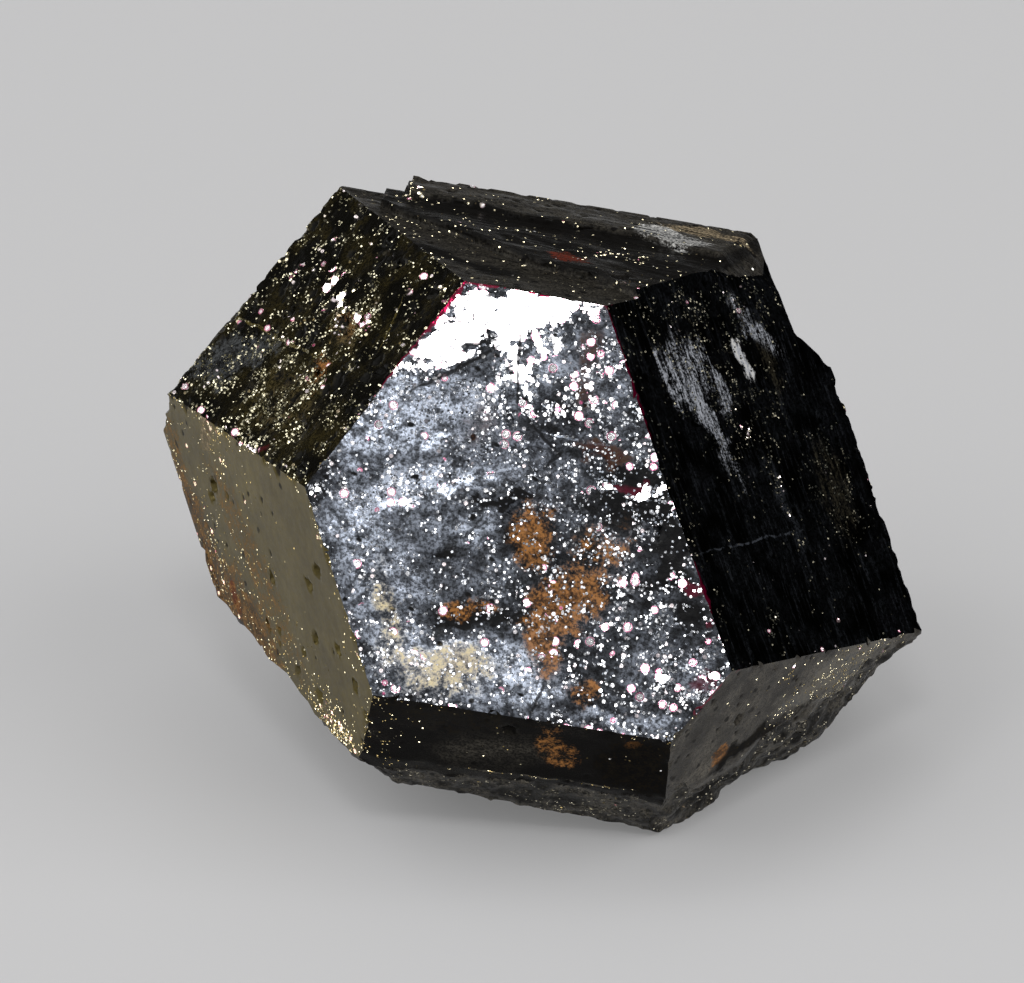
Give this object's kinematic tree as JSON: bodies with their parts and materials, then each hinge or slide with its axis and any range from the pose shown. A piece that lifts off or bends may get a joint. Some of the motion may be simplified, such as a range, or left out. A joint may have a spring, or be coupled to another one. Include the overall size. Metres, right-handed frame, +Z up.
{
  "type": "uraninite crystal",
  "caption": "Loose blocky black metallic mineral crystal, octahedron and cube faces in balance, with growth steps, pits and a broken underside to rest on.",
  "frame": {"origin": "middle of the bounding box, on the flat that the crystal rests on", "axes": "+Z up from the resting flat, -Y towards the large octahedron face at the front, +X to the right of it"},
  "size_m": [0.0202, 0.019, 0.0144],
  "materials": {
    "uraninite": "submetallic black, smooth to glittery, grey and brown stained in places"
  },
  "bodies": {
    "root": {"uraninite_crystal": "uraninite"}
  },
  "joints": []
}
